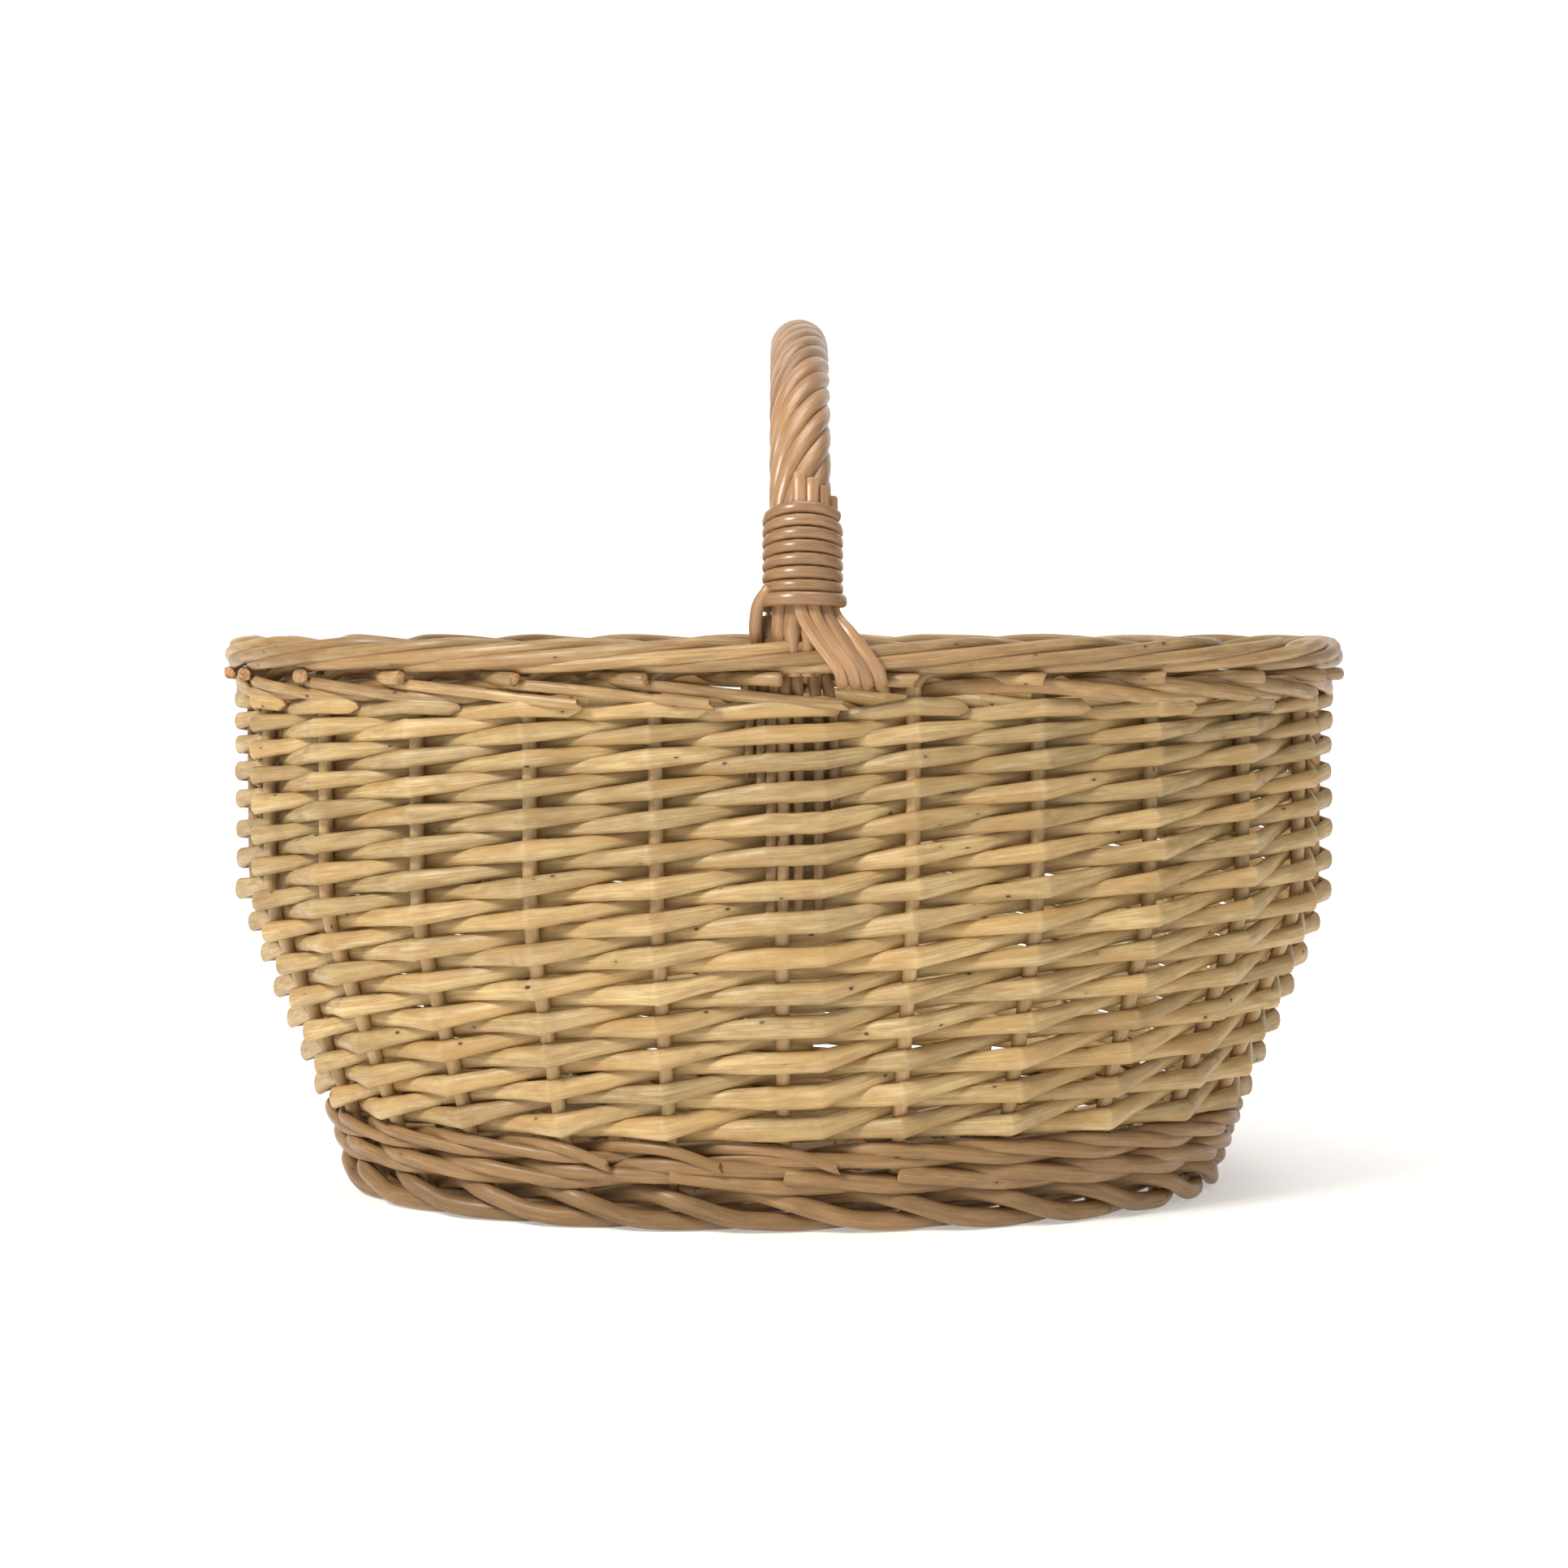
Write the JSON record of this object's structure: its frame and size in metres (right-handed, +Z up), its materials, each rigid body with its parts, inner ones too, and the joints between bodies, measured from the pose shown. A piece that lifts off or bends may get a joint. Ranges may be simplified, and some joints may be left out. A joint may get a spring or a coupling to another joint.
{
  "type": "market basket",
  "caption": "Oval woven willow market basket with flared sides, rolled rim and foot borders, and a fixed twisted-rod bow handle bound with collars at the rim.",
  "frame": {"origin": "on the floor under the middle of the basket", "axes": "+X along the length of the oval, +Y from the front wall to the back wall, +Z up"},
  "size_m": [0.4584, 0.3666, 0.3552],
  "materials": {
    "weaver_willow": "satin",
    "stake_willow": "satin",
    "wale_willow": "satin",
    "foot_willow": "satin",
    "handle_willow": "satin"
  },
  "bodies": {
    "root": {"side_stake_01": "stake_willow", "side_stake_02": "stake_willow", "side_stake_03": "stake_willow", "side_stake_04": "stake_willow", "side_stake_05": "stake_willow", "side_stake_06": "stake_willow", "side_stake_07": "stake_willow", "side_stake_08": "stake_willow", "side_stake_09": "stake_willow", "side_stake_10": "stake_willow", "side_stake_11": "stake_willow", "side_stake_12": "stake_willow", "side_stake_13": "stake_willow", "side_weaver_01": "weaver_willow", "side_weaver_02": "weaver_willow", "side_weaver_03": "weaver_willow", "side_weaver_04": "weaver_willow", "side_weaver_05": "weaver_willow", "side_weaver_06": "weaver_willow", "side_weaver_07": "weaver_willow", "side_weaver_08": "weaver_willow", "side_weaver_09": "weaver_willow", "side_weaver_10": "weaver_willow", "side_weaver_11": "weaver_willow", "side_weaver_12": "weaver_willow", "side_weaver_13": "weaver_willow", "bottom_wale_rod_1": "wale_willow", "bottom_wale_rod_2": "wale_willow", "bottom_wale_rod_3": "wale_willow", "top_wale_rod_1": "wale_willow", "top_wale_rod_2": "wale_willow", "top_wale_rod_3": "wale_willow", "foot_border_rods": "foot_willow", "base_cross_stick_1": "stake_willow", "base_cross_stick_2": "stake_willow", "base_cross_stick_3": "stake_willow", "base_cross_stick_4": "stake_willow", "base_cross_stick_5": "stake_willow", "base_cross_stick_6": "stake_willow", "base_cross_stick_7": "stake_willow", "base_cross_stick_8": "stake_willow", "base_cross_stick_9": "stake_willow", "base_long_stick_1": "stake_willow", "base_long_stick_2": "stake_willow", "base_long_stick_3": "stake_willow", "base_long_stick_4": "stake_willow", "base_weave": "weaver_willow", "handle_bow": "stake_willow", "handle_rope_rod_1": "handle_willow", "handle_rope_rod_2": "handle_willow", "handle_rope_rod_3": "handle_willow", "handle_rope_rod_4": "handle_willow", "handle_rope_rod_5": "handle_willow", "handle_rope_rod_6": "handle_willow", "handle_rope_rod_7": "handle_willow", "handle_rope_rod_8": "handle_willow", "handle_collar_front": "handle_willow", "handle_tails_front": "handle_willow", "handle_collar_back": "handle_willow", "handle_tails_back": "handle_willow"}
  },
  "joints": []
}
